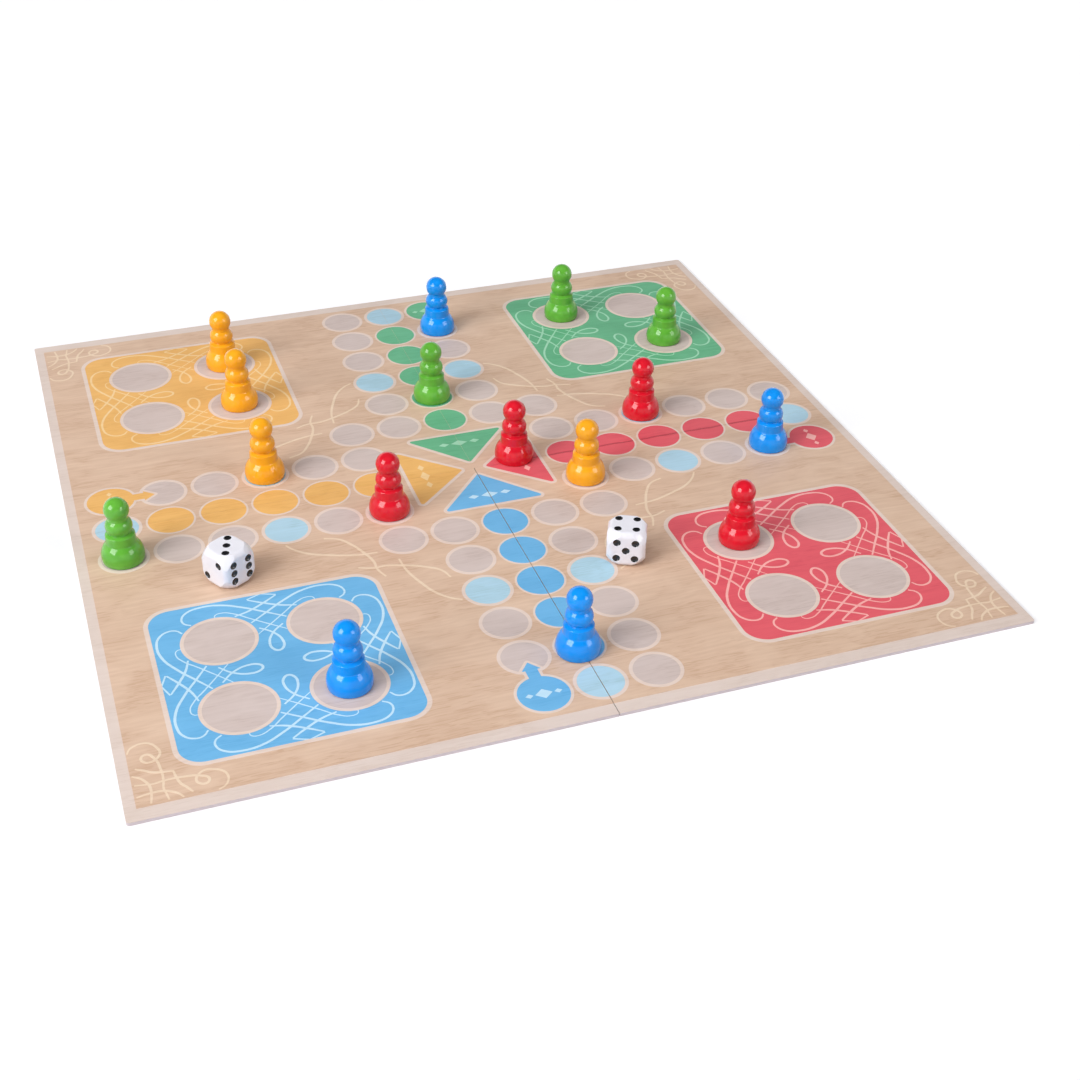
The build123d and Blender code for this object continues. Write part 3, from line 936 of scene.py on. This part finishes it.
def cut_to_panel(work, panel):
    """Keeps what lies on one panel, and closes it along the cuts."""
    side_x, side_y = PANELS[panel]
    gap = slit_gap if side_y < 0 else crease_gap
    across = ((side_x * gap / 2, 0, 0), (-side_x, 0, 0))
    along = ((0, side_y * crease_gap / 2, 0), (0, -side_y, 0))
    for place, outward in (across, along):
        everything = work.verts[:] + work.edges[:] + work.faces[:]
        cut = bmesh.ops.bisect_plane(work, geom=everything, dist=ON_THE_CUT, plane_no=outward,
                                     plane_co=Vector(place) * MM, clear_outer=True)
        open_edges = [part for part in cut["geom_cut"] if isinstance(part, bmesh.types.BMEdge)]
        bmesh.ops.holes_fill(work, edges=open_edges, sides=0)


def new_piece(name, work, material):
    """A working mesh as a piece in the scene, with one finish on all its faces."""
    mesh = bpy.data.meshes.new(name)
    work.to_mesh(mesh)
    mesh.materials.clear()
    mesh.materials.append(material)
    piece = bpy.data.objects.new(name, mesh)
    bpy.context.collection.objects.link(piece)
    return piece


def print_on_panels(name, meshes, material, replaced=""):
    """A layer of print as one piece on each panel that it reaches."""
    for panel in PANELS:
        work = joined(meshes)
        cut_to_panel(work, panel)
        if work.faces:
            bmesh.ops.recalc_face_normals(work, faces=work.faces)
            piece = new_piece(name + "_" + panel, work, material)
            piece.data.shade_flat()
            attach(piece, "panel_" + panel)
            if replaced:
                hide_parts(replaced + "_" + panel)
            print(f"  {piece.name}: {len(piece.data.polygons)} faces")
        work.free()


print(f"the cuts leave {crease_gap:.2f} mm at a crease and {slit_gap:.2f} mm at the slit")

# %% [markdown]
# The track and the waiting circles are one grey-beige ink, and the safe circles a pale blue one.
# All of them are round, so the disc tree makes them.

# %% Track, safe circles and waiting circles
track_circles = discs(track_places, circle_radius, FLAT_INK, track_ink)
waiting_circles = discs(waiting_places, WAITING_RADIUS, FLAT_INK, track_ink)
print_on_panels("track_ink", [track_circles, waiting_circles], track_ink, "track_print")
safe_circles = discs(safe_places, circle_radius, FLAT_INK, safe_ink)
print_on_panels("safe_ink", [safe_circles], safe_ink, "safe_print")

# %% [markdown]
# Each player's ink prints a home square with holes for its waiting circles, a start sign, a finish
# triangle and the home run. Its penwork is a paler ink on top, drawn with two pens.

# %% The four players' inks and their penwork
for colour, ink in player_inks.items():
    square = slab([home_square(colour)] + waiting_holes(colour, WAITING_RADIUS + CIRCLE_EDGE / 2), FLAT_INK)
    sign = slab([start_sign(colour)], SIGN_INK)
    triangle = slab([finish_triangle(colour)], FLAT_INK)
    run = discs(run_places[colour], RUN_RADIUS, FLAT_INK, ink)
    print_on_panels(colour + "_ink", [square, sign, triangle, run], ink, colour + "_print")
    pen = flourish_inks[colour]
    middle = home_place(colour)
    both = (AS_DRAWN, MIRRORED)
    broad = pen_lines(four_sides([HOME_LOOP, HOME_CROSS, HOME_TICK], middle, both)
                      + four_sides([HOME_TEAR], middle, (AS_DRAWN,)), HOME_BROAD_PEN, pen)
    fine = pen_lines(four_sides([HOME_CURL], middle, both), HOME_FINE_PEN, pen)
    marks = slab(lozenges(SIGN_LOZENGES, 0, colour, start_places[colour])
                 + lozenges(TRIANGLE_LOZENGES, TRIANGLE_ROW_OUT, colour), MOTIF_INK)
    print_on_panels(colour + "_penwork", [broad, fine, marks], pen)

# %% [markdown]
# Every shape is edged in cream. A ring's inner edge laps the ink by a hair, so no oak shows between
# the two. The same cream, a little yellower, draws the flourishes on the bare oak.

# %% Pale rings and outlines
all_run_places = [place for places in run_places.values() for place in places]
run_edge = circle_radius + CIRCLE_EDGE - RUN_RADIUS
outlines = [rings(track_places + safe_places, circle_radius, CIRCLE_EDGE, RING_INK, outline_ink),
            rings(all_run_places, RUN_RADIUS, run_edge, RING_INK, outline_ink),
            rings(waiting_places, WAITING_RADIUS, CIRCLE_EDGE, RING_INK, outline_ink)]
for colour in ARMS:
    outlines.append(pale_edge(start_sign(colour), SIGN_EDGE, SIGN_EDGE_INK))
    outlines.append(pale_edge(finish_triangle(colour), TRIANGLE_EDGE, RING_INK))
    outlines.append(pale_edge(home_square(colour), SQUARE_EDGE, RING_INK))
print_on_panels("pale_outlines", outlines, outline_ink)
sheet_reach = node_box("face_sheet_back_right")[1]
knots = pen_lines(four_corners(KNOT_LINES, sheet_reach.x - sheet_reach.y), KNOT_PEN, faint_ink)
crossings = pen_lines(four_corners(CROSS_LINES), CROSS_PEN, faint_ink)
print_on_panels("corner_penwork", [knots, crossings], faint_ink)

# %% [markdown]
# A quad-fold board is hinged by its own paper. Along the far crease the face sheet is the hinge,
# and along the two side creases the backing paper is. Each hinge is a strip as narrow as the
# crease, with many divisions across it.

# %% Paper spines
SPINE_DIVISIONS = 24
PAPER = 0.15


def spine(name, low, high, across, material):
    """A strip of paper that fills a crease, finely divided from one panel to the other."""
    work = bmesh.new()
    bmesh.ops.create_cube(work, size=1.0)
    crossing = [e for e in work.edges if abs((e.verts[0].co - e.verts[1].co)[across]) > 0.5]
    bmesh.ops.subdivide_edges(work, edges=crossing, cuts=SPINE_DIVISIONS - 1, use_grid_fill=True)
    piece = new_piece(name, work, material)
    work.free()
    size = Vector(high) - Vector(low)
    middle = (Vector(low) + Vector(high)) / 2
    piece.data.transform(Matrix.Scale(MM, 4) @ Matrix.Translation(middle) @ Matrix.Diagonal((*size, 1)))
    start = Vector((0, 0, 0))
    start[across] = -crease_gap / 2 * MM
    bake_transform(piece)


crease = crease_gap / 2
sheet_edge = node_box("face_sheet_back_left")[1].y
sheet_low = node_box("face_sheet_back_left")[0].z
spine("far_crease_spine", (-crease, crease, sheet_low), (crease, sheet_edge, face_top), 0, oak_print)
spine("far_margin_spine", (-crease, sheet_edge, sheet_low - PAPER), (crease, half_side, sheet_low), 0,
      margin_paper)
spine("left_crease_spine", (-half_side, -crease, 0), (-slit_gap / 2, crease, PAPER), 1, margin_paper)
spine("right_crease_spine", (slit_gap / 2, -crease, 0), (half_side, crease, PAPER), 1, margin_paper)
print("4 paper spines,", SPINE_DIVISIONS, "divisions across each")
